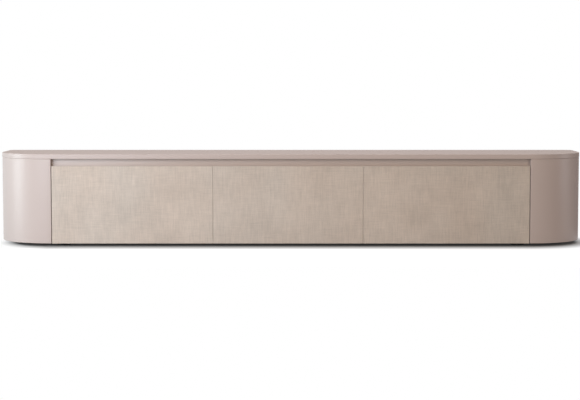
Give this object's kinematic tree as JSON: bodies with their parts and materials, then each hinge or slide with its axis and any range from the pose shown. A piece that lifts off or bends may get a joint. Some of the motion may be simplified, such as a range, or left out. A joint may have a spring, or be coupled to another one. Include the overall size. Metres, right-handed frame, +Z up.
{
  "type": "tv stand",
  "caption": "Long low TV stand with curved ends, wide woven drawer fronts under a finger recess, a slab top and low feet set back in shadow.",
  "frame": {"origin": "on the floor, under the middle of the stand", "axes": "+X along the stand, to the right as seen from the front; +Y to the back; +Z up"},
  "size_m": [2.7, 0.45, 0.42],
  "materials": {
    "satin_lacquer": "satin lacquer on fibreboard, pinkish taupe",
    "woven_front": "panel faced with a fine woven raffia-like cloth under matt varnish",
    "carcass_board": "matt laminated board",
    "drawer_board": "matt laminated board with a fine linen print",
    "slide_steel": "zinc-plated rolled steel",
    "zinc_steel": "zinc-plated",
    "beech": "raw beech with fluted grain",
    "black_plastic": "moulded matt"
  },
  "bodies": {
    "carcass": {"top_panel": "satin_lacquer", "left_end_shell": "satin_lacquer", "right_end_shell": "satin_lacquer", "left_upper_rib": "carcass_board", "left_lower_rib": "carcass_board", "right_upper_rib": "carcass_board", "right_lower_rib": "carcass_board", "bottom_panel": "carcass_board", "left_carcass_side": "carcass_board", "right_carcass_side": "carcass_board", "finger_rail": "satin_lacquer", "left_partition": "carcass_board", "right_partition": "carcass_board", "left_back_panel": "satin_lacquer", "middle_back_panel": "satin_lacquer", "right_back_panel": "satin_lacquer", "feet": "black_plastic", "foot_screws": "zinc_steel", "top_screws": "zinc_steel", "back_screws": "zinc_steel", "carcass_dowels": "beech", "left_bay_left_cabinet_slide": "slide_steel", "left_bay_right_cabinet_slide": "slide_steel", "middle_bay_left_cabinet_slide": "slide_steel", "middle_bay_right_cabinet_slide": "slide_steel", "right_bay_left_cabinet_slide": "slide_steel", "right_bay_right_cabinet_slide": "slide_steel"},
    "left_drawer": {"left_drawer_front": "woven_front", "left_drawer_box_front": "drawer_board", "left_drawer_left_side": "drawer_board", "left_drawer_right_side": "drawer_board", "left_drawer_box_back": "drawer_board", "left_drawer_base": "drawer_board", "left_drawer_front_screws": "zinc_steel", "left_drawer_left_slide": "slide_steel", "left_drawer_right_slide": "slide_steel"},
    "left_middle_slides": {"left_bay_left_middle_slide": "slide_steel", "left_bay_right_middle_slide": "slide_steel"},
    "middle_drawer": {"middle_drawer_front": "woven_front", "middle_drawer_box_front": "drawer_board", "middle_drawer_left_side": "drawer_board", "middle_drawer_right_side": "drawer_board", "middle_drawer_box_back": "drawer_board", "middle_drawer_base": "drawer_board", "middle_drawer_front_screws": "zinc_steel", "middle_drawer_left_slide": "slide_steel", "middle_drawer_right_slide": "slide_steel"},
    "middle_middle_slides": {"middle_bay_left_middle_slide": "slide_steel", "middle_bay_right_middle_slide": "slide_steel"},
    "right_drawer": {"right_drawer_front": "woven_front", "right_drawer_box_front": "drawer_board", "right_drawer_left_side": "drawer_board", "right_drawer_right_side": "drawer_board", "right_drawer_box_back": "drawer_board", "right_drawer_base": "drawer_board", "right_drawer_front_screws": "zinc_steel", "right_drawer_left_slide": "slide_steel", "right_drawer_right_slide": "slide_steel"},
    "right_middle_slides": {"right_bay_left_middle_slide": "slide_steel", "right_bay_right_middle_slide": "slide_steel"}
  },
  "joints": [
    {"name": "left_drawer_pull", "type": "slide", "parent": "carcass", "child": "left_drawer", "axis": [0, -1, 0], "range_m": [0, 0.36]},
    {"name": "left_middle_slides_travel", "type": "slide", "parent": "carcass", "child": "left_middle_slides", "axis": [0, -1, 0], "range_m": [0, 0.18]},
    {"name": "middle_drawer_pull", "type": "slide", "parent": "carcass", "child": "middle_drawer", "axis": [0, -1, 0], "range_m": [0, 0.36]},
    {"name": "middle_middle_slides_travel", "type": "slide", "parent": "carcass", "child": "middle_middle_slides", "axis": [0, -1, 0], "range_m": [0, 0.18]},
    {"name": "right_drawer_pull", "type": "slide", "parent": "carcass", "child": "right_drawer", "axis": [0, -1, 0], "range_m": [0, 0.36]},
    {"name": "right_middle_slides_travel", "type": "slide", "parent": "carcass", "child": "right_middle_slides", "axis": [0, -1, 0], "range_m": [0, 0.18]}
  ],
  "couplings": [
    {"joint": "left_middle_slides_travel", "follows": "left_drawer_pull", "ratio": 0.5},
    {"joint": "middle_middle_slides_travel", "follows": "middle_drawer_pull", "ratio": 0.5},
    {"joint": "right_middle_slides_travel", "follows": "right_drawer_pull", "ratio": 0.5}
  ]
}
